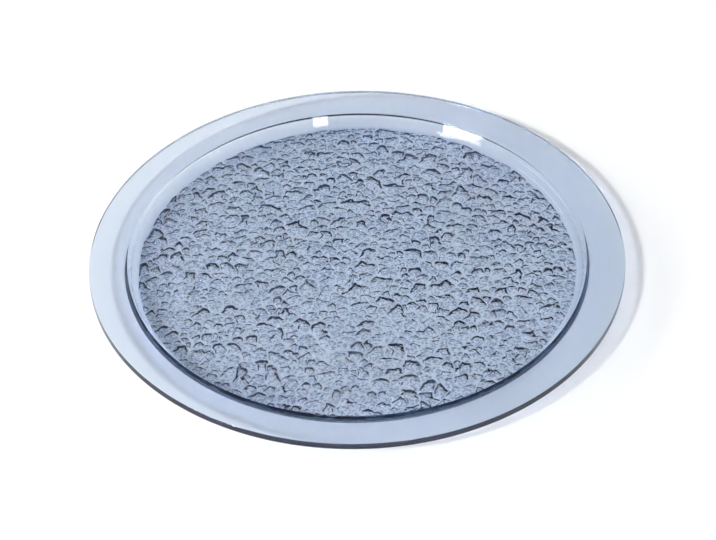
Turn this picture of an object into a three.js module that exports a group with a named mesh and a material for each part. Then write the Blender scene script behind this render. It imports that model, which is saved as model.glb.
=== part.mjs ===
// Round serving plate of pale blue pressed glass, one piece.
// Millimetres, +Z up. The origin is the centre of the footprint, on the table.
import * as THREE from 'three';
import { mergeGeometries, mergeVertices } from 'three/addons/utils/BufferGeometryUtils.js';

// Overall size
const RIM_DIAMETER = 300;
const PLATE_HEIGHT = 13;

// The flat rim
const RIM_WIDTH = 21.4;
const RIM_RISE = 2.4;
const RIM_THICKNESS = 3.4;
const EDGE_ROUND = 0.25;
const EDGE_DRAFT = THREE.MathUtils.degToRad(5);

// The wall between the rim and the well
const WALL_SLOPE = THREE.MathUtils.degToRad(69);
const WALL_THICKNESS = 2.5;
const SHOULDER_ROUND = 1.2;
const UNDER_ROUND = 3.5;
const COVE_ROUND = 3.5;
const HEEL_ROUND = 6;

// The floor of the well and the ring that it stands on
const FLOOR_THICKNESS = 3;
const FOOT_HEIGHT = 0.25;
const FOOT_WIDTH = 1.4;
const FOOT_CHAMFER = 0.6;

// The hammered relief under the floor
const DIMPLE_PITCH = 8;
const DIMPLE_DEPTH = 0.8;
const DIMPLE_SCATTER = 0.28;
const RELIEF_MARGIN = 0.6;

// Facets round the plate, in each bend of its section and in each corner of its edge
const ROUND_STEPS = 96;
const BEND_STEPS = 4;
const EDGE_STEPS = 2;

// Levels, and where the flat top of the rim meets the edge and the wall. The edge leans in
// towards the top, and the highest point of its rounding is the height of the plate.
const rimRadius = RIM_DIAMETER / 2;
const rimTilt = Math.atan(RIM_RISE / RIM_WIDTH);
const edgeLean = RIM_THICKNESS * Math.tan(EDGE_DRAFT);
const edgeCrown = (Math.sin(rimTilt) + Math.cos(EDGE_DRAFT)) / Math.cos(rimTilt - EDGE_DRAFT);
const edgeLevel = PLATE_HEIGHT + EDGE_ROUND * (edgeCrown - 1);
const shoulderRadius = rimRadius - RIM_WIDTH;
const shoulderLevel = edgeLevel - (RIM_WIDTH - edgeLean) * Math.tan(rimTilt);
const underEdgeLevel = shoulderLevel + RIM_RISE - RIM_THICKNESS;
const ridgeLevel = FOOT_HEIGHT;
const floorLevel = ridgeLevel + FLOOR_THICKNESS;

// Where the wall meets the floor inside, and the table and the rim outside
const wallRun = 1 / Math.tan(WALL_SLOPE);
const wallShift = WALL_THICKNESS / Math.sin(WALL_SLOPE);
const coveRadius = shoulderRadius - (shoulderLevel - floorLevel) * wallRun;
const heelRadius = shoulderRadius + wallShift - shoulderLevel * wallRun;
const underReach = (wallShift - RIM_THICKNESS * wallRun) / (1 - Math.tan(rimTilt) * wallRun);
const underRadius = shoulderRadius + underReach;
const underLevel = shoulderLevel - RIM_THICKNESS + underReach * Math.tan(rimTilt);

// The ring that the plate stands on, where the heel turns down into the flat
const footOuterRadius = heelRadius - HEEL_ROUND * Math.tan(WALL_SLOPE / 2);
const footInnerRadius = footOuterRadius - FOOT_WIDTH;
const reliefRadius = footInnerRadius - FOOT_CHAMFER;

// A corner of the section, rounded off with an arc that touches both its sides
function roundCorner(before, corner, after, radius, steps) {
  const into = before.clone().sub(corner).normalize();
  const out = after.clone().sub(corner).normalize();
  const half = Math.acos(THREE.MathUtils.clamp(into.dot(out), -1, 1)) / 2;
  const centre = into.clone().add(out).normalize().multiplyScalar(radius / Math.sin(half)).add(corner);
  const first = into.multiplyScalar(radius / Math.tan(half)).add(corner).sub(centre);
  const last = out.multiplyScalar(radius / Math.tan(half)).add(corner).sub(centre);
  const turn = Math.atan2(first.cross(last), first.dot(last));
  const points = [];
  for (let step = 0; step <= steps; step += 1) {
    points.push(first.clone().rotateAround(new THREE.Vector2(), turn * step / steps).add(centre));
  }
  return points;
}

// The section, from the inner edge of the foot out round the rim and back to the axis
const corners = [
  { at: new THREE.Vector2(reliefRadius, ridgeLevel) },
  { at: new THREE.Vector2(footInnerRadius, 0) },
  { at: new THREE.Vector2(heelRadius, 0), round: HEEL_ROUND, steps: BEND_STEPS },
  { at: new THREE.Vector2(underRadius, underLevel), round: UNDER_ROUND, steps: BEND_STEPS },
  { at: new THREE.Vector2(rimRadius, underEdgeLevel), round: EDGE_ROUND, steps: EDGE_STEPS },
  { at: new THREE.Vector2(rimRadius - edgeLean, edgeLevel), round: EDGE_ROUND, steps: EDGE_STEPS },
  { at: new THREE.Vector2(shoulderRadius, shoulderLevel), round: SHOULDER_ROUND, steps: BEND_STEPS },
  { at: new THREE.Vector2(coveRadius, floorLevel), round: COVE_ROUND, steps: BEND_STEPS },
  { at: new THREE.Vector2(0, floorLevel) },
];
const section = corners.flatMap(({ at, round, steps }, i) => {
  if (!round) {
    return [at];
  }
  return roundCorner(corners[i - 1].at, at, corners[i + 1].at, round, steps);
});
const body = new THREE.LatheGeometry(section, ROUND_STEPS);

// The same scattered number from 0 to 1 for the same place in the relief
function scatter(a, b, salt) {
  const wave = Math.sin(a * 12.9898 + b * 78.233 + salt * 37.719) * 43758.5453;
  return wave - Math.floor(wave);
}

// The relief is a net of six-sided dimples. Every third point of a triangular
// net is the middle of a dimple, and the points round it are on its ridges.
const netStep = DIMPLE_PITCH / Math.sqrt(3);
const netReach = Math.ceil(reliefRadius / netStep * 2);
const around = [[1, 0], [0, 1], [-1, 1], [-1, 0], [0, -1], [1, -1]];

function netPoint(a, b) {
  const swing = scatter(a, b, 1) * Math.PI * 2;
  const shift = scatter(a, b, 2) * DIMPLE_SCATTER * netStep;
  const x = (a + b / 2) * netStep + shift * Math.cos(swing);
  const y = b * Math.sqrt(3) / 2 * netStep + shift * Math.sin(swing);
  return new THREE.Vector2(x, y);
}

const reliefPositions = [];
const ridgeEdges = new Map();
for (let a = -netReach; a <= netReach; a += 1) {
  for (let b = -netReach; b <= netReach; b += 1) {
    const ring = around.map(([da, db]) => [a + da, b + db]);
    const isMiddle = (a - b) % 3 === 0;
    const fits = ring.every(([ra, rb]) => netPoint(ra, rb).length() < reliefRadius - RELIEF_MARGIN);
    if (!isMiddle || !fits) {
      continue;
    }
    const middle = netPoint(a, b);
    const roof = ridgeLevel + DIMPLE_DEPTH * (0.6 + 0.4 * scatter(a, b, 3));
    ring.forEach((here, i) => {
      const next = ring[(i + 1) % ring.length];
      const p = netPoint(...here);
      const q = netPoint(...next);
      reliefPositions.push(middle.x, middle.y, roof, q.x, q.y, ridgeLevel, p.x, p.y, ridgeLevel);
      const back = `${next} ${here}`;
      if (!ridgeEdges.delete(back)) {
        ridgeEdges.set(`${here} ${next}`, [here, next]);
      }
    });
  }
}
const relief = new THREE.BufferGeometry();
relief.setAttribute('position', new THREE.Float32BufferAttribute(reliefPositions, 3));

// The flat margin between the outermost ridges and the foot
const nextRidge = new Map([...ridgeEdges.values()].map(([from, to]) => [`${from}`, to]));
const firstRidge = [...ridgeEdges.values()][0][0];
const ridgeLoop = [];
let ridge = firstRidge;
do {
  ridgeLoop.push(netPoint(...ridge));
  ridge = nextRidge.get(`${ridge}`);
} while (`${ridge}` !== `${firstRidge}`);
const footCircle = [];
for (let step = 0; step < ROUND_STEPS; step += 1) {
  const angle = step / ROUND_STEPS * Math.PI * 2;
  footCircle.push(new THREE.Vector2(reliefRadius * Math.sin(angle), reliefRadius * Math.cos(angle)));
}
const marginShape = new THREE.Shape(footCircle);
marginShape.holes.push(new THREE.Path(ridgeLoop));
const margin = new THREE.ShapeGeometry(marginShape);
margin.translate(0, 0, ridgeLevel);
margin.setIndex([...margin.index.array].reverse());

// The lathe turns about Y, so it is stood up before the pieces of skin are joined
body.rotateX(Math.PI / 2);
const skins = [body, relief, margin].map((skin) => {
  const bare = skin.index ? skin.toNonIndexed() : skin;
  bare.deleteAttribute('normal');
  bare.deleteAttribute('uv');
  return bare;
});
const plateGeometry = mergeVertices(mergeGeometries(skins), 0.001);
plateGeometry.computeVertexNormals();

const glass = new THREE.MeshStandardMaterial({
  color: 0xb4c6e0,
  roughness: 0.06,
  metalness: 0,
  transparent: true,
  opacity: 0.6,
});
const plate = new THREE.Mesh(plateGeometry, glass);
plate.name = 'plate';

const glassPlate = new THREE.Group();
glassPlate.add(plate);

export default glassPlate;
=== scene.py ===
import math

import bmesh
import bpy
import numpy as np
from mathutils import Matrix, Vector, kdtree, noise


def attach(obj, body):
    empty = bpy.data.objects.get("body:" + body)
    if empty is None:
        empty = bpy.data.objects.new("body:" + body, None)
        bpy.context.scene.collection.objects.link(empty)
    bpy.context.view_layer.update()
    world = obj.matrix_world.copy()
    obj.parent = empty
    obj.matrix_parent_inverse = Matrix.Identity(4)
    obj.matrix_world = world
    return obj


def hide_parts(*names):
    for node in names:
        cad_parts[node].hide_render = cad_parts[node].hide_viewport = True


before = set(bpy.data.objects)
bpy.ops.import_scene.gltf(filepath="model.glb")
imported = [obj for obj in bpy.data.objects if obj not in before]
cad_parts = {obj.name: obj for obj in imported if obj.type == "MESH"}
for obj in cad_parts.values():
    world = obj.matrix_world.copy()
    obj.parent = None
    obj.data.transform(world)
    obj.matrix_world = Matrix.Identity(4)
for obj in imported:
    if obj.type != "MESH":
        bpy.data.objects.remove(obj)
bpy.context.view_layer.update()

scene = bpy.context.scene

# The pressed body
# The whole plate is one pressing of soda-lime glass: a flat well, a coved wall and
# a wide rim that rises a little to a square edge. It has no joints and no fittings.
# The edge leans in a few degrees, so that the ring of the mould lifts off it.
mm = 0.001
plate_height = 13 * mm
rim_radius = 150 * mm
rim_width = 21.4 * mm
rim_rise = 2.4 * mm
rim_thickness = 3.4 * mm
edge_round = 0.25 * mm
edge_draft = math.radians(5)
wall_slope = math.radians(69)
wall_thickness = 2.5 * mm
shoulder_round = 1.2 * mm
under_round = 3.5 * mm
cove_round = 3.5 * mm
heel_round = 6 * mm
foot_height = 0.25 * mm
floor_thickness = 3 * mm
relief_climb = 2 * mm

floor_level = foot_height + floor_thickness
rim_tilt = math.atan(rim_rise / rim_width)
edge_lean = rim_thickness * math.tan(edge_draft)
edge_crown = (math.sin(rim_tilt) + math.cos(edge_draft)) / math.cos(rim_tilt - edge_draft)
edge_level = plate_height + edge_round * (edge_crown - 1)
shoulder_radius = rim_radius - rim_width
shoulder_level = edge_level - (rim_width - edge_lean) * math.tan(rim_tilt)
wall_run = 1 / math.tan(wall_slope)
wall_shift = wall_thickness / math.sin(wall_slope)
cove_radius = shoulder_radius - (shoulder_level - floor_level) * wall_run
heel_radius = shoulder_radius + wall_shift - shoulder_level * wall_run
under_reach = (wall_shift - rim_thickness * wall_run) / (1 - math.tan(rim_tilt) * wall_run)
under_level = shoulder_level - rim_thickness + under_reach * math.tan(rim_tilt)
foot_radius = heel_radius - heel_round * math.tan(wall_slope / 2)
relief_radius = foot_radius + relief_climb
bend_margin = 0.2 * mm
strip_width = 0.3 * mm


def bend(before, corner, after, radius, steps):
    """Rounds one corner of the section. A row just before and just after the arc keeps
    the flats beside it flat to the eye."""
    before, corner, after = np.array(before), np.array(corner), np.array(after)
    into = (before - corner) / np.linalg.norm(before - corner)
    out = (after - corner) / np.linalg.norm(after - corner)
    half = math.acos(into @ out) / 2
    centre = corner + (into + out) / np.linalg.norm(into + out) * radius / math.sin(half)
    first = corner + into * radius / math.tan(half) - centre
    last = corner + out * radius / math.tan(half) - centre
    turn = math.atan2(first[0] * last[1] - first[1] * last[0], first @ last)
    rows = [centre + first + into * bend_margin]
    for step in range(steps + 1):
        c, s = math.cos(turn * step / steps), math.sin(turn * step / steps)
        rows.append(centre + np.array((c * first[0] - s * first[1], s * first[0] + c * first[1])))
    return rows + [centre + last + out * bend_margin]


# The corners of the section, each with its rounding and the steps in its arc
corners = [
    ((0, 0), None),
    ((heel_radius, 0), (heel_round, 7)),
    ((shoulder_radius + under_reach, under_level), (under_round, 6)),
    ((rim_radius, shoulder_level + rim_rise - rim_thickness), (edge_round, 2)),
    ((rim_radius - edge_lean, edge_level), (edge_round, 2)),
    ((shoulder_radius, shoulder_level), (shoulder_round, 8)),
    ((cove_radius, floor_level), (cove_round, 7)),
    ((0, floor_level), None),
]
section = []
for (before, _), (corner, rounding), (after, _) in zip(corners, corners[1:], corners[2:]):
    section += bend(before, corner, after, *rounding)
while section[0][0] < relief_radius + strip_width:
    section.pop(0)

# The hammered hollows
# The underside of the well is a crowd of shallow hollows, three to thirteen millimetres wide
# and no two alike, that meet in low ridges. The lower mould presses them into the glass.
hammer_seed = 11
hollow_steepness = 0.152
deepest_hollow = 1.1 * mm
ripple_height = 0.18 * mm

# Blows of mixed size fall at random, each no nearer to an earlier one than a share of their
# two sizes. A size is a radius in millimetres.
blow_count = 9000
usual_blow, blow_spread = 2.8, 0.42
least_blow, largest_blow = 1.6, 6.5
blow_spacing = 0.78
blow_inset = 0.5
lots = np.random.default_rng(hammer_seed)
noise.seed_set(hammer_seed)
blow_size = lots.lognormal(math.log(usual_blow), blow_spread, blow_count)
blow_size = np.clip(blow_size, least_blow, largest_blow) * mm
blow_reach = relief_radius * np.sqrt(lots.random(blow_count))
blow_place = blow_reach * np.exp(2j * math.pi * lots.random(blow_count))
blows = []
for k in range(blow_count):
    gap = np.abs(blow_place[blows] - blow_place[k]) - blow_spacing * (blow_size[blows] + blow_size[k])
    if relief_radius - blow_reach[k] > blow_inset * blow_size[k] and (gap > 0).all():
        blows.append(k)

# A blow near the heel has a twin outside it, so that the last hollows end on one ring
twin_zone = 9 * mm
outer = [k for k in blows if relief_radius - blow_reach[k] < twin_zone]
twins = blow_place[outer] * (2 * relief_radius / blow_reach[outer] - 1)
middles = np.concatenate([blow_place[blows], twins])
spreads = np.concatenate([blow_size[blows], blow_size[outer]])


def trim(outline, towards, limit):
    """Cuts an outline, given as complex points, along a straight line across one direction."""
    kept = []
    over = [(p * towards.conjugate()).real - limit for p in outline]
    for k, p in enumerate(outline):
        if over[k - 1] * over[k] < 0:
            kept.append(p + (outline[k - 1] - p) * over[k] / (over[k] - over[k - 1]))
        if over[k] <= 0:
            kept.append(p)
    return kept


# A hollow reaches to the lines halfway to its neighbours, nearer to the smaller blow
widest_outline = 20 * mm
neighbours = 39
outlines = []
for middle, spread in zip(middles[:len(blows)], spreads):
    apart = np.abs(middles - middle)
    outline = [widest_outline * 1j ** k for k in range(4)]
    for k in np.argsort(apart)[1:neighbours + 1]:
        limit = (apart[k] ** 2 + spread ** 2 - spreads[k] ** 2) / (2 * apart[k])
        outline = trim(outline, (middles[k] - middle) / apart[k], limit)
    outlines.append([middle + p for p in outline])

# Neighbouring hollows share the points of the ridge between them, and the ridges wander.
# They dip to the table in a narrow ring, which is the foot, and then follow the heel up.
same_point = 0.05 * mm
ridge_step = 1.5 * mm
bend_length, bend_sway = 6 * mm, 2.2 * mm
kink_length, kink_sway = 2.2 * mm, 0.7 * mm
sway_margin = 3 * mm
stray_length, stray_reach, stray_margin = 9 * mm, 1.1 * mm, 8 * mm
sag_length, sag_depth, sag_margin = 7 * mm, 0.55 * mm, 6 * mm
foot_width, foot_slope = 0.5 * mm, 2.5 * mm
loose = [p for outline in outlines for p in outline]
nearby = kdtree.KDTree(len(loose))
for k, p in enumerate(loose):
    nearby.insert((p.real, p.imag, 0), k)
nearby.balance()
shared = [min(k for _, k, _ in nearby.find_range((p.real, p.imag, 0), same_point)) for p in loose]
points = []
brink = []


def ridge_point(p):
    """Adds a point of the ridges, and gives its number."""
    if abs(p) > relief_radius - 2 * same_point:
        p *= relief_radius / abs(p)
        brink.append(len(points))
    inside = relief_radius - abs(p)
    sway = noise.noise_vector(Vector((p.real, p.imag, 0)) / bend_length) * bend_sway
    sway += noise.noise_vector(Vector((p.real, p.imag, 9)) / kink_length) * kink_sway
    p += complex(sway.x, sway.y) * min(1, inside / sway_margin)
    stray = noise.noise(Vector((p.real, p.imag, 3)) / stray_length)
    p *= 1 - (1 + stray) * stray_reach * max(0, 1 - inside / stray_margin) ** 2 / abs(p)
    slack = max(0, noise.noise(Vector((p.real, p.imag, 5)) / sag_length))
    sag = sag_depth * slack * min(1, inside / sag_margin)
    dip = foot_height * min(1, max(0, (foot_radius - foot_width - abs(p)) / foot_slope))
    heel = heel_round - math.sqrt(heel_round ** 2 - max(0, abs(p) - foot_radius) ** 2)
    points.append((p.real, p.imag, sag + dip + heel))
    return len(points) - 1


def sides(ring):
    """The sides of a closed ring, each as its first and its second end."""
    return list(zip(ring, ring[1:] + ring[:1]))


ridge_paths = {}
ridge_ends = {}
hollow_faces = []
start = 0
for outline in outlines:
    ends = list(dict.fromkeys(shared[start:start + len(outline)]))
    start += len(outline)
    ring = []
    for end, after in sides(ends):
        low, high = min(end, after), max(end, after)
        if (low, high) not in ridge_paths:
            run = loose[high] - loose[low]
            parts = max(1, round(abs(run) / ridge_step))
            ridge_paths[low, high] = [ridge_point(loose[low] + run * k / parts) for k in range(1, parts)]
        if end not in ridge_ends:
            ridge_ends[end] = ridge_point(loose[end])
        path = ridge_paths[low, high]
        ring += [ridge_ends[end]] + (path if end == low else path[::-1])
    hollow_faces.append(ring)

# Where two blows overlap, the ridge between them is gone and they leave one long hollow.
# A single blow leaves a hollow that is rounder than its outline.
long_roundness = 0.2
least_roundness = 0.65
roundness = lots.uniform(least_roundness, 1.0, len(hollow_faces))
tries = len(hollow_faces) // 3
beside = {side: k for k, ring in enumerate(hollow_faces) for side in sides(ring)}
taken = set()
for k in lots.permutation(len(hollow_faces))[:tries].tolist():
    near = [beside.get((b, a)) for a, b in sides(hollow_faces[k])]
    near = [n for n in near if n is not None and n not in taken]
    if k in taken or not near:
        continue
    other = max(near, key=near.count)
    follow = {}
    for a, b in sides(hollow_faces[k]) + sides(hollow_faces[other]):
        if beside.get((b, a)) not in (k, other):
            follow[a] = b
    loop = [min(follow)]
    while follow.get(loop[-1], loop[0]) != loop[0]:
        loop.append(follow[loop[-1]])
    if len(loop) == len(follow):
        taken |= {k, other}
        hollow_faces[k], hollow_faces[other] = loop, []
        roundness[k] = long_roundness
roundness = [share for share, ring in zip(roundness, hollow_faces) if ring]
hollow_faces = [ring for ring in hollow_faces if ring]

# The rest of the skin is the section turned about the axis. A strip of triangles joins its
# first row to the last ridges.
steps_round = 420
brink = sorted((math.atan2(points[k][1], points[k][0]), k) for k in brink)
angles = np.linspace(-math.pi, math.pi, steps_round, endpoint=False)
rows = []
for radius, level in section:
    rows.append(range(len(points), len(points) + steps_round))
    points += [(radius * math.cos(t), radius * math.sin(t), level) for t in angles]
crown = len(points)
points.append((0, 0, floor_level))
faces = list(hollow_faces)
for k in range(steps_round):
    n = (k + 1) % steps_round
    faces += [(low[k], low[n], high[n], high[k]) for low, high in zip(rows, rows[1:])]
    faces.append((rows[-1][k], rows[-1][n], crown))
heel = list(zip(angles, rows[0]))
b = h = 0
while b < len(brink) or h < len(heel):
    here, there = brink[b % len(brink)][1], heel[h % len(heel)][1]
    if h == len(heel) or (b < len(brink) and brink[b][0] < heel[h][0]):
        b += 1
        faces.append((here, brink[b % len(brink)][1], there))
    else:
        h += 1
        faces.append((here, heel[h % len(heel)][1], there))

blank_mesh = bpy.data.meshes.new("blank")
blank_mesh.from_pydata(points, [], faces)
marks = blank_mesh.attributes.new("hollow", "BOOLEAN", "FACE")
marks.data.foreach_set("value", [k < len(hollow_faces) for k in range(len(faces))])
rounds = blank_mesh.attributes.new("roundness", "FLOAT", "FACE")
rounds.data.foreach_set("value", roundness + [0.0] * (len(faces) - len(hollow_faces)))
skin = bmesh.new()
skin.from_mesh(blank_mesh)
bmesh.ops.delete(skin, geom=[v for v in skin.verts if not v.link_faces], context="VERTS")
bmesh.ops.recalc_face_normals(skin, faces=skin.faces)
skin.to_mesh(blank_mesh)
skin.free()
blank = bpy.data.objects.new("blank", blank_mesh)
scene.collection.objects.link(blank)


def add_node(tree, kind, sockets=(), **settings):
    """Adds one node with its settings. Each of its sockets takes another node's output
    or a plain value."""
    node = tree.nodes.new(kind)
    for name, value in settings.items():
        setattr(node, name, value)
    for socket, source in dict(sockets).items():
        if isinstance(source, bpy.types.NodeSocket):
            tree.links.new(source, node.inputs[socket])
        else:
            node.inputs[socket].default_value = source
    return node


# Each outline is pressed into a cup: a narrow land inside the ridge, a rounder brim, a steep
# side and a flat roof that is a little off the middle. Its depth follows its own width and
# the force of its blow. Most blows are light and a few are hard.
light_blow, hard_blow = 0.28, 2.3
hardness_curve = 2.5
most_slip = 0.25
land_share = 0.89
land_crest = 0.4
waver_length = 3.6 * mm
tight_brim, wide_brim = 0.62, 1.12
ripple_length = 3.4 * mm
hammering = bpy.data.node_groups.new("Hammered underside", "GeometryNodeTree")
hammering.interface.new_socket("Glass", in_out="INPUT", socket_type="NodeSocketGeometry")
hammering.interface.new_socket("Steepness", in_out="INPUT", socket_type="NodeSocketFloat")
hammering.interface.new_socket("Deepest", in_out="INPUT", socket_type="NodeSocketFloat")
hammering.interface.new_socket("Ripple", in_out="INPUT", socket_type="NodeSocketFloat")
hammering.interface.new_socket("Seed", in_out="INPUT", socket_type="NodeSocketInt")
hammering.interface.new_socket("Finish", in_out="INPUT", socket_type="NodeSocketMaterial")
hammering.interface.new_socket("Glass", in_out="OUTPUT", socket_type="NodeSocketGeometry")
given = add_node(hammering, "NodeGroupInput").outputs


def read(name, kind):
    """The value of a named attribute of the glass."""
    reader = add_node(hammering, "GeometryNodeInputNamedAttribute", {"Name": name}, data_type=kind)
    return reader.outputs[0]


hollow = read("hollow", "BOOLEAN")
place = add_node(hammering, "GeometryNodeInputPosition").outputs[0]
area = add_node(hammering, "GeometryNodeInputMeshFaceArea").outputs[0]
disc = add_node(hammering, "ShaderNodeMath", {0: area, 1: math.pi}, operation="DIVIDE")
spread = add_node(hammering, "ShaderNodeMath", {0: disc.outputs[0]}, operation="SQRT")
luck = add_node(hammering, "FunctionNodeRandomValue", {"Seed": given["Seed"]}, data_type="FLOAT")
rare = add_node(hammering, "ShaderNodeMath", {0: luck.outputs[1], 1: hardness_curve}, operation="POWER")
force = add_node(hammering, "ShaderNodeMapRange", {
    "Value": rare.outputs[0], "To Min": light_blow, "To Max": hard_blow,
})
steep = add_node(hammering, "ShaderNodeMath", {
    0: given["Steepness"], 1: force.outputs[0],
}, operation="MULTIPLY")
asked = add_node(hammering, "ShaderNodeMath", {
    0: spread.outputs[0], 1: steep.outputs[0],
}, operation="MULTIPLY")
depth = add_node(hammering, "ShaderNodeMath", {
    0: asked.outputs[0], 1: given["Deepest"],
}, operation="MINIMUM")
next_seed = add_node(hammering, "ShaderNodeMath", {0: given["Seed"], 1: 1.0})
slip = add_node(hammering, "FunctionNodeRandomValue", {
    0: (-most_slip, -most_slip, 0), 1: (most_slip, most_slip, 0), "Seed": next_seed.outputs[0],
}, data_type="FLOAT_VECTOR")
shift = add_node(hammering, "ShaderNodeVectorMath", {
    0: slip.outputs[0], "Scale": spread.outputs[0],
}, operation="SCALE")
heart = add_node(hammering, "ShaderNodeVectorMath", {0: place, 1: shift.outputs[0]})
kept = {"heart": heart.outputs[0], "spread": spread.outputs[0], "depth": depth.outputs[0]}
glass_now = given["Glass"]
for name, value in kept.items():
    kind = "FLOAT_VECTOR" if name == "heart" else "FLOAT"
    glass_now = add_node(hammering, "GeometryNodeStoreNamedAttribute", {
        "Geometry": glass_now, "Name": name, "Value": value,
    }, data_type=kind, domain="FACE").outputs[0]
    kept[name] = read(name, kind)
glass_now = add_node(hammering, "GeometryNodeStoreNamedAttribute", {
    "Geometry": glass_now, "Selection": hollow, "Name": "crest", "Value": 1.0,
}, data_type="FLOAT", domain="POINT").outputs[0]

away = add_node(hammering, "ShaderNodeVectorMath", {0: place, 1: kept["heart"]}, operation="SUBTRACT")
level_arm = add_node(hammering, "ShaderNodeVectorMath", {
    0: away.outputs[0], 1: (1, 1, 0),
}, operation="MULTIPLY")
far = add_node(hammering, "ShaderNodeVectorMath", {0: level_arm.outputs[0]}, operation="LENGTH")
land = add_node(hammering, "ShaderNodeMath", {0: far.outputs["Value"], 1: land_share}, operation="MULTIPLY")
wobble = add_node(hammering, "ShaderNodeTexNoise", {
    "Vector": place, "Scale": 1 / waver_length, "Detail": 1.0,
})
waver = add_node(hammering, "ShaderNodeMapRange", {
    "Value": wobble.outputs[0], "From Min": 0.25, "From Max": 0.75,
    "To Min": tight_brim, "To Max": wide_brim,
})
circle = add_node(hammering, "ShaderNodeMath", {
    0: kept["spread"], 1: waver.outputs[0],
}, operation="MULTIPLY")
rounder = add_node(hammering, "ShaderNodeMix", {
    0: read("roundness", "FLOAT"), 2: land.outputs[0], 3: circle.outputs[0],
}, data_type="FLOAT")
brim = add_node(hammering, "ShaderNodeMath", {
    0: land.outputs[0], 1: rounder.outputs[0],
}, operation="MINIMUM")
share = add_node(hammering, "ShaderNodeMath", {
    0: brim.outputs[0], 1: far.outputs["Value"],
}, operation="DIVIDE")
draw_in = add_node(hammering, "ShaderNodeMath", {0: share.outputs[0], 1: 1.0}, operation="SUBTRACT")

# The brim, the side and the roof: how far each is drawn in, its share of the depth, and how
# much of a ridge it still is
rings = [(draw_in.outputs[0], 0.06, land_crest), (-0.16, 0.55, 0.0), (-0.36, 1.0, 0.0)]
chosen, level = hollow, 0.0
for narrowing, rise, crest in rings:
    drawn = add_node(hammering, "GeometryNodeExtrudeMesh", {
        "Mesh": glass_now, "Selection": chosen, "Offset Scale": 0.0, "Individual": True,
    }, mode="FACES")
    chosen = drawn.outputs["Top"]
    inwards = add_node(hammering, "ShaderNodeVectorMath", {
        0: level_arm.outputs[0], "Scale": narrowing,
    }, operation="SCALE")
    lift = add_node(hammering, "ShaderNodeMath", {0: kept["depth"], 1: rise - level}, operation="MULTIPLY")
    upwards = add_node(hammering, "ShaderNodeCombineXYZ", {2: lift.outputs[0]})
    step = add_node(hammering, "ShaderNodeVectorMath", {0: inwards.outputs[0], 1: upwards.outputs[0]})
    pressed = add_node(hammering, "GeometryNodeSetPosition", {
        "Geometry": drawn.outputs["Mesh"], "Selection": chosen, "Offset": step.outputs[0],
    })
    glass_now = add_node(hammering, "GeometryNodeStoreNamedAttribute", {
        "Geometry": pressed.outputs[0], "Selection": chosen, "Name": "crest", "Value": crest,
    }, data_type="FLOAT", domain="POINT").outputs[0]
    level = rise
wave = add_node(hammering, "ShaderNodeTexNoise", {
    "Vector": place, "Scale": 1 / ripple_length, "Detail": 1.0,
})
ripple = add_node(hammering, "ShaderNodeMapRange", {
    "Value": wave.outputs[0], "From Min": 0.25, "From Max": 0.75, "To Max": given["Ripple"],
})
upwards = add_node(hammering, "ShaderNodeCombineXYZ", {2: ripple.outputs[0]})
cupped = add_node(hammering, "ShaderNodeMath", {
    0: read("crest", "FLOAT"), 1: land_crest,
}, operation="LESS_THAN")
inner = add_node(hammering, "ShaderNodeMath", {0: cupped.outputs[0], 1: hollow}, operation="MULTIPLY")
rippled = add_node(hammering, "GeometryNodeSetPosition", {
    "Geometry": glass_now, "Selection": inner.outputs[0], "Offset": upwards.outputs[0],
})
whole = add_node(hammering, "GeometryNodeRealizeInstances", {0: rippled.outputs[0]})
finished = add_node(hammering, "GeometryNodeSetMaterial", {
    "Geometry": whole.outputs[0], "Material": given["Finish"],
})
add_node(hammering, "NodeGroupOutput", {0: finished.outputs[0]})

# The glass
# Pressed soda-lime glass tinted through with a little blue. The top and the rim are
# The top and the rim are fire-polished and clear. The hammered side keeps the faint matt
# skin and fine bumps of the iron mould. Its ridges are left white as painted caustic light,
# and its hollows are a painted shade greyer than the rim, mottled at random.


def linear(colour):
    """A colour written as sRGB hex, as the linear red, green, blue and alpha of a socket."""
    parts = [int(colour[i:i + 2], 16) / 255 for i in (1, 3, 5)]
    return [c / 12.92 if c <= 0.04045 else ((c + 0.055) / 1.055) ** 2.4 for c in parts] + [1.0]


grain_length = 1.3 * mm
ridge_light_length = 6 * mm
wave_length, wave_height = 2 * mm, 0.45 * mm
skin_height = 0.04 * mm
skin_roughness = 0.03
glass_index = 1.51
tint_density = 150.0
glass = bpy.data.materials.new("pressed_soda_lime_glass")
glass.use_nodes = True
glassware = glass.node_tree
glassware.nodes.clear()
spot = add_node(glassware, "ShaderNodeTexCoord").outputs["Object"]
crest = add_node(glassware, "ShaderNodeAttribute", attribute_name="crest").outputs["Fac"]
hollow = add_node(glassware, "ShaderNodeAttribute", attribute_name="hollow").outputs["Fac"]
grain = add_node(glassware, "ShaderNodeTexNoise", {
    "Vector": spot, "Scale": 1 / grain_length, "Detail": 4.0,
})
# Painted shade and grain: the hollows are tinted grey for the dimmer light between the caustic lines, and
# the noise mottles that grey at random.
shade = add_node(glassware, "ShaderNodeMapRange", {
    "Value": grain.outputs[0], "From Min": 0.42, "From Max": 0.55,
})
hollow_shade_and_grain = add_node(glassware, "ShaderNodeMix", {
    "Factor": shade.outputs[0], 6: linear("#9ba9bb"), 7: linear("#ffffff"),
}, data_type="RGBA")
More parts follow.
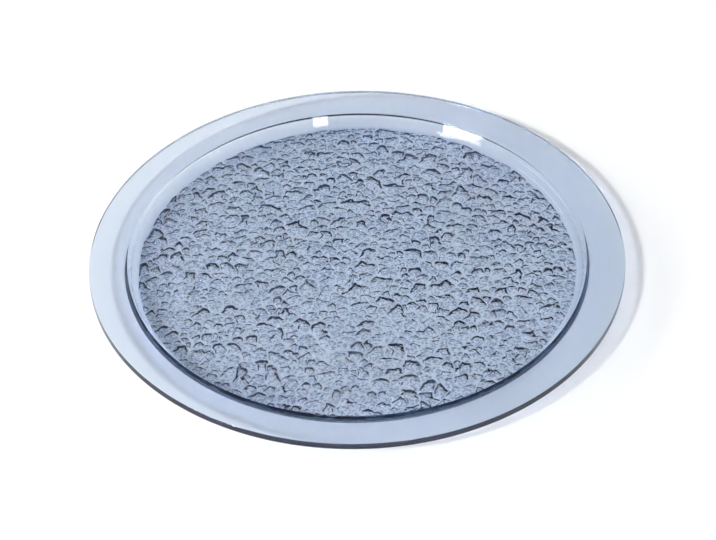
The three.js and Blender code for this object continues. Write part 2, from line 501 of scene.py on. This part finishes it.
# Painted light: the ridges stay white against the greyer hollows, as painted caustic lines, broken up by a
# slow noise so that they come and go along each ridge.
ridge_light_noise = add_node(glassware, "ShaderNodeTexNoise", {"Vector": spot, "Scale": 1 / ridge_light_length, "Detail": 1.0})
ridge_light_share = add_node(glassware, "ShaderNodeMapRange", {
    "Value": ridge_light_noise.outputs[0], "From Min": 0.35, "From Max": 0.65, "To Min": 0.8, "To Max": 1.0,
})
ridge = add_node(glassware, "ShaderNodeMapRange", {"Value": crest, "From Min": 0.5, "From Max": 0.8})
painted_ridge_light = add_node(glassware, "ShaderNodeMath", {
    0: ridge.outputs[0], 1: ridge_light_share.outputs[0],
}, operation="MULTIPLY")
painted_light_skin_tone = add_node(glassware, "ShaderNodeMix", {
    "Factor": painted_ridge_light.outputs[0], 6: hollow_shade_and_grain.outputs[2], 7: linear("#ffffff"),
}, data_type="RGBA")
tone = add_node(glassware, "ShaderNodeMix", {
    "Factor": hollow, 6: linear("#ffffff"), 7: painted_light_skin_tone.outputs[2],
}, data_type="RGBA")
matt = add_node(glassware, "ShaderNodeMath", {0: hollow, 1: skin_roughness}, operation="MULTIPLY")
wave = add_node(glassware, "ShaderNodeTexNoise", {"Vector": spot, "Scale": 1 / wave_length, "Detail": 1.0})
cup = add_node(glassware, "ShaderNodeMath", {
    0: hollow, 1: ridge.outputs[0],
}, operation="SUBTRACT", use_clamp=True)
waves = add_node(glassware, "ShaderNodeBump", {
    "Strength": cup.outputs[0], "Distance": wave_height, "Height": wave.outputs[0],
})
mould_skin = add_node(glassware, "ShaderNodeBump", {
    "Strength": hollow, "Distance": skin_height, "Height": grain.outputs[0], "Normal": waves.outputs[0],
})
surface = add_node(glassware, "ShaderNodeBsdfPrincipled", {
    "Base Color": tone.outputs[2], "Roughness": matt.outputs[0], "Normal": mould_skin.outputs[0],
    "IOR": glass_index, "Transmission Weight": 1.0,
})
tint = add_node(glassware, "ShaderNodeVolumeAbsorption", {
    "Color": linear("#a5c2e0"), "Density": tint_density,
})
add_node(glassware, "ShaderNodeOutputMaterial", {
    "Surface": surface.outputs[0], "Volume": tint.outputs[0],
})

press = blank.modifiers.new("Hammered underside", "NODES")
press.node_group = hammering
settings = {
    "Steepness": hollow_steepness,
    "Deepest": deepest_hollow,
    "Ripple": ripple_height,
    "Seed": hammer_seed,
    "Finish": glass,
}
for item in hammering.interface.items_tree:
    if item.in_out == "INPUT" and item.name in settings:
        press[item.identifier] = settings[item.name]
pressed_blank = blank.evaluated_get(bpy.context.evaluated_depsgraph_get())
pressing = bpy.data.meshes.new_from_object(pressed_blank)
bpy.data.objects.remove(blank)
pressing.shade_smooth()
plate = bpy.data.objects.new("glass_plate", pressing)
scene.collection.objects.link(plate)
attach(plate, "root")
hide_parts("plate")

# The table
# A wide sheet of matt white card that the plate stands on. It shows through the glass
# and takes its shadow. A faint glow, which lights nothing else, keeps the card white.
card_reach = 6
card_level = -0.05 * mm
card_glow = 0.06
card_sides = [(-1, -1), (1, -1), (1, 1), (-1, 1)]
card_corners = [(x * card_reach, y * card_reach, card_level) for x, y in card_sides]
card = bpy.data.meshes.new("card")
card.from_pydata(card_corners, [], [(0, 1, 2, 3)])
table = bpy.data.objects.new("table", card)
scene.collection.objects.link(table)
white_card = bpy.data.materials.new("matt_white_card")
white_card.use_nodes = True
paper = white_card.node_tree
paper.nodes.clear()
matt = add_node(paper, "ShaderNodeBsdfDiffuse", {"Color": linear("#f3f3f3")})
rays = add_node(paper, "ShaderNodeLightPath").outputs
seen = add_node(paper, "ShaderNodeMath", {
    0: rays["Is Camera Ray"], 1: rays["Is Glossy Ray"],
}, operation="MAXIMUM")
seen = add_node(paper, "ShaderNodeMath", {
    0: seen.outputs[0], 1: rays["Is Transmission Ray"],
}, operation="MAXIMUM")
pale = add_node(paper, "ShaderNodeMath", {0: seen.outputs[0], 1: card_glow}, operation="MULTIPLY")
glow = add_node(paper, "ShaderNodeEmission", {"Strength": pale.outputs[0]})
both = add_node(paper, "ShaderNodeAddShader", {0: matt.outputs[0], 1: glow.outputs[0]})
add_node(paper, "ShaderNodeOutputMaterial", {"Surface": both.outputs[0]})
card.materials.append(white_card)

# The light
# A pale room that is brightest overhead and to the left. The key lamp throws the shadow of the
# rim, a low window and a tall strip give the glass its two highlights, and a side lamp, which
# the glass does not mirror, fills. Light is followed all the way through the glass.
brightest = (-0.5, -0.1, 0.86)
room = bpy.data.worlds.new("pale_room")
room.use_nodes = True
air = room.node_tree
air.nodes.clear()
towards = add_node(air, "ShaderNodeTexCoord").outputs["Generated"]
lean = add_node(air, "ShaderNodeVectorMath", {0: towards, 1: brightest}, operation="DOT_PRODUCT")
level = add_node(air, "ShaderNodeMapRange", {
    "Value": lean.outputs["Value"], "From Min": 0.27, "From Max": 1.0, "To Min": 0.04, "To Max": 0.9,
})
sky = add_node(air, "ShaderNodeBackground", {"Color": linear("#fbfdff"), "Strength": level.outputs[0]})
add_node(air, "ShaderNodeOutputWorld", {"Surface": sky.outputs[0]})
scene.world = room


def softbox(name, azimuth, height, distance, width, tall, level):
    """A rectangular lamp that faces the plate, azimuth degrees left of the front and
    height degrees above the table. Its level is what it adds to a white table's brightness."""
    a, h = math.radians(azimuth), math.radians(height)
    towards = Vector((-math.sin(a) * math.cos(h), -math.cos(a) * math.cos(h), math.sin(h)))
    lamp = bpy.data.lights.new(name, "AREA")
    lamp.shape = "RECTANGLE"
    lamp.size = width
    lamp.size_y = tall
    lamp.energy = level * math.pi ** 2 * distance ** 2 / math.sin(h)
    stand = bpy.data.objects.new(name, lamp)
    facing = towards.to_track_quat("Z", "Y").to_matrix().to_4x4()
    stand.matrix_world = Matrix.Translation(towards * distance) @ facing
    scene.collection.objects.link(stand)
    return stand


softbox("window", 54, 9, 4, 1.4, 1.15, 0.09)
softbox("key", 49.5, 36, 8, 0.85, 0.85, 0.41)
softbox("strip", -16.2, 13, 4, 0.5, 1.8, 0.05)
softbox("side", 105, 22, 4, 2.4, 1.2, 0.2).visible_glossy = False
bounces = 16
scene.cycles.sample_clamp_indirect = 0
scene.cycles.blur_glossy = 0
scene.cycles.max_bounces = bounces
scene.cycles.glossy_bounces = bounces
scene.cycles.transmission_bounces = bounces

# The camera
# A long lens in front of the plate, looking down at it from about forty degrees. The size of
# the picture, the focal length and the point that the lens aims at are in pixels.
frame_width, frame_height = 716, 540
aim_across, aim_down = 356.6, 243.7
focal_length = 1491
camera_distance = 0.84
lookout = math.radians(40.77)
roll = math.radians(-1.3)
aim = Vector((0, 0, plate_height))
camera = bpy.data.cameras.new("camera")
camera.sensor_width = 36
camera.lens = focal_length * camera.sensor_width / frame_width
camera.shift_x = (frame_width / 2 - aim_across) / frame_width
camera.shift_y = -(frame_height / 2 - aim_down) / frame_width
tripod = bpy.data.objects.new("camera", camera)
stand = aim + camera_distance * Vector((0, -math.cos(lookout), math.sin(lookout)))
facing = (aim - stand).to_track_quat("-Z", "Y").to_matrix().to_4x4()
tripod.matrix_world = Matrix.Translation(stand) @ facing @ Matrix.Rotation(roll, 4, "Z")
scene.collection.objects.link(tripod)
scene.camera = tripod
scene.view_settings.view_transform = "Standard"
